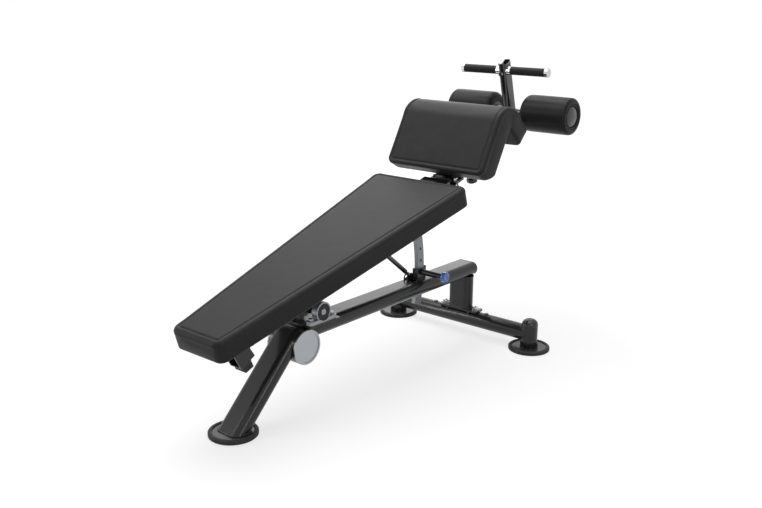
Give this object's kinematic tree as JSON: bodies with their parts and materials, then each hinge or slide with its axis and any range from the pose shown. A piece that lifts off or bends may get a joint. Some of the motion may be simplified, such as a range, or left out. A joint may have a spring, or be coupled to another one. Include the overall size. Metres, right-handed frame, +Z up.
{
  "type": "adjustable decline bench",
  "caption": "Adjustable decline bench with a tapered back pad, bent knee pad, ankle rollers, pull handle and a tilting pad frame on a three-foot steel base.",
  "frame": {"origin": "on the floor at the middle of the overall footprint", "axes": "+X towards the ankle rollers, the raised end; +Y to the left of someone facing that end; +Z up"},
  "size_m": [1.7002, 0.784, 1.0425],
  "materials": {
    "frame_paint": "dark grey satin powder coat",
    "cap_silver": "satin silver",
    "bearing_cast": "silver painted casting",
    "foot_steel": "grey zinc plate",
    "strut_steel": "grey zinc plate",
    "plain_steel": "ground steel",
    "chrome": "polished chrome",
    "black_plastic": "moulded black plastic",
    "blue_plastic": "moulded blue plastic",
    "black_rubber": "moulded black rubber",
    "black_vinyl": "grained vinyl-coated cloth over foam",
    "plywood": "plywood board",
    "gas_paint": "black gloss paint"
  },
  "bodies": {
    "floor_frame": {"main_beam": "frame_paint", "beam_end_plug": "black_plastic", "front_leg": "frame_paint", "hub_tube": "frame_paint", "hub_cap_left": "cap_silver", "hub_cap_right": "cap_silver", "rear_post": "frame_paint", "post_base_plate": "frame_paint", "base_bolts": "chrome", "rear_cross_tube": "frame_paint", "rear_foot_tube_left": "frame_paint", "rear_foot_tube_right": "frame_paint", "tube_caps": "black_plastic", "foot_plates": "foot_steel", "foot_rubber_front": "black_rubber", "foot_rubber_left": "black_rubber", "foot_rubber_right": "black_rubber", "bearing_plate": "frame_paint", "bearing_housing_left": "bearing_cast", "bearing_housing_right": "bearing_cast", "bearing_inserts": "plain_steel", "bearing_seals": "black_rubber", "bearing_bolts": "plain_steel", "strut_sleeve": "frame_paint", "gas_bracket": "frame_paint"},
    "pad_frame": {"pad_frame_tube": "frame_paint", "pad_tube_plugs": "black_plastic", "pivot_boss": "frame_paint", "pivot_shaft": "plain_steel", "curved_strut": "strut_steel", "stop_bracket": "frame_paint", "rubber_bumper": "black_rubber", "main_pad": "black_vinyl", "pad_board": "plywood", "pad_bolts": "plain_steel", "pad_end_bar": "frame_paint", "outer_boom": "frame_paint", "boom_bolts": "chrome", "knee_pad": "black_vinyl", "knee_board": "plywood", "knee_bracket": "frame_paint", "gas_top_bracket": "frame_paint"},
    "carriage": {"inner_boom": "frame_paint", "upright_post": "frame_paint", "handle_bar": "chrome", "handle_grip_left": "black_rubber", "handle_grip_right": "black_rubber", "handle_trim": "chrome", "roller_axle": "plain_steel", "axle_collars": "chrome"},
    "roller_left": {"roller_foam_left": "black_vinyl", "roller_core_left": "black_plastic"},
    "roller_right": {"roller_foam_right": "black_vinyl", "roller_core_right": "black_plastic"},
    "tilt_pin": {"pull_pin": "plain_steel", "pull_knob": "blue_plastic"},
    "length_pin": {"knee_pull_pin": "plain_steel", "knee_knob": "black_plastic"},
    "gas_rod": {"gas_rod": "plain_steel"},
    "gas_cylinder": {"gas_cylinder": "gas_paint"}
  },
  "joints": [
    {"name": "pad_tilt", "type": "hinge", "parent": "floor_frame", "child": "pad_frame", "pos_m": [-0.39133, 0, 0.319], "axis": [0, -1, 0], "range_deg": [-8.62, 8.62]},
    {"name": "carriage_slide", "type": "slide", "parent": "pad_frame", "child": "carriage", "axis": [0.9613, 0, 0.2756], "range_m": [-0.05, 0.05]},
    {"name": "roller_left_spin", "type": "hinge", "parent": "carriage", "child": "roller_left", "pos_m": [0.77856, 0.17, 0.83682], "axis": [0, 1, 0], "continuous": true},
    {"name": "roller_right_spin", "type": "hinge", "parent": "carriage", "child": "roller_right", "pos_m": [0.77856, -0.17, 0.83682], "axis": [0, 1, 0], "continuous": true},
    {"name": "tilt_pin_pull", "type": "slide", "parent": "floor_frame", "child": "tilt_pin", "axis": [0, -1, 0], "range_m": [0, 0.012], "stiffness_N_per_m": 1500, "springref_m": -0.006},
    {"name": "length_pin_pull", "type": "slide", "parent": "pad_frame", "child": "length_pin", "axis": [0.2756, 0, -0.9613], "range_m": [0, 0.012], "stiffness_N_per_m": 1500, "springref_m": -0.006},
    {"name": "gas_rod_swing", "type": "hinge", "parent": "pad_frame", "child": "gas_rod", "pos_m": [-0.02443, 0.022, 0.43877], "axis": [0, -1, 0], "range_deg": [-17.1, 17.1]},
    {"name": "gas_cylinder_slide", "type": "slide", "parent": "gas_rod", "child": "gas_cylinder", "axis": [0.7836, 0, -0.6213], "range_m": [-0.0483, 0.0483]}
  ],
  "couplings": [
    {"joint": "gas_rod_swing", "follows": "pad_tilt", "ratio": -1.9582},
    {"joint": "gas_cylinder_slide", "follows": "pad_tilt", "m_per_rad": 0.3141}
  ]
}
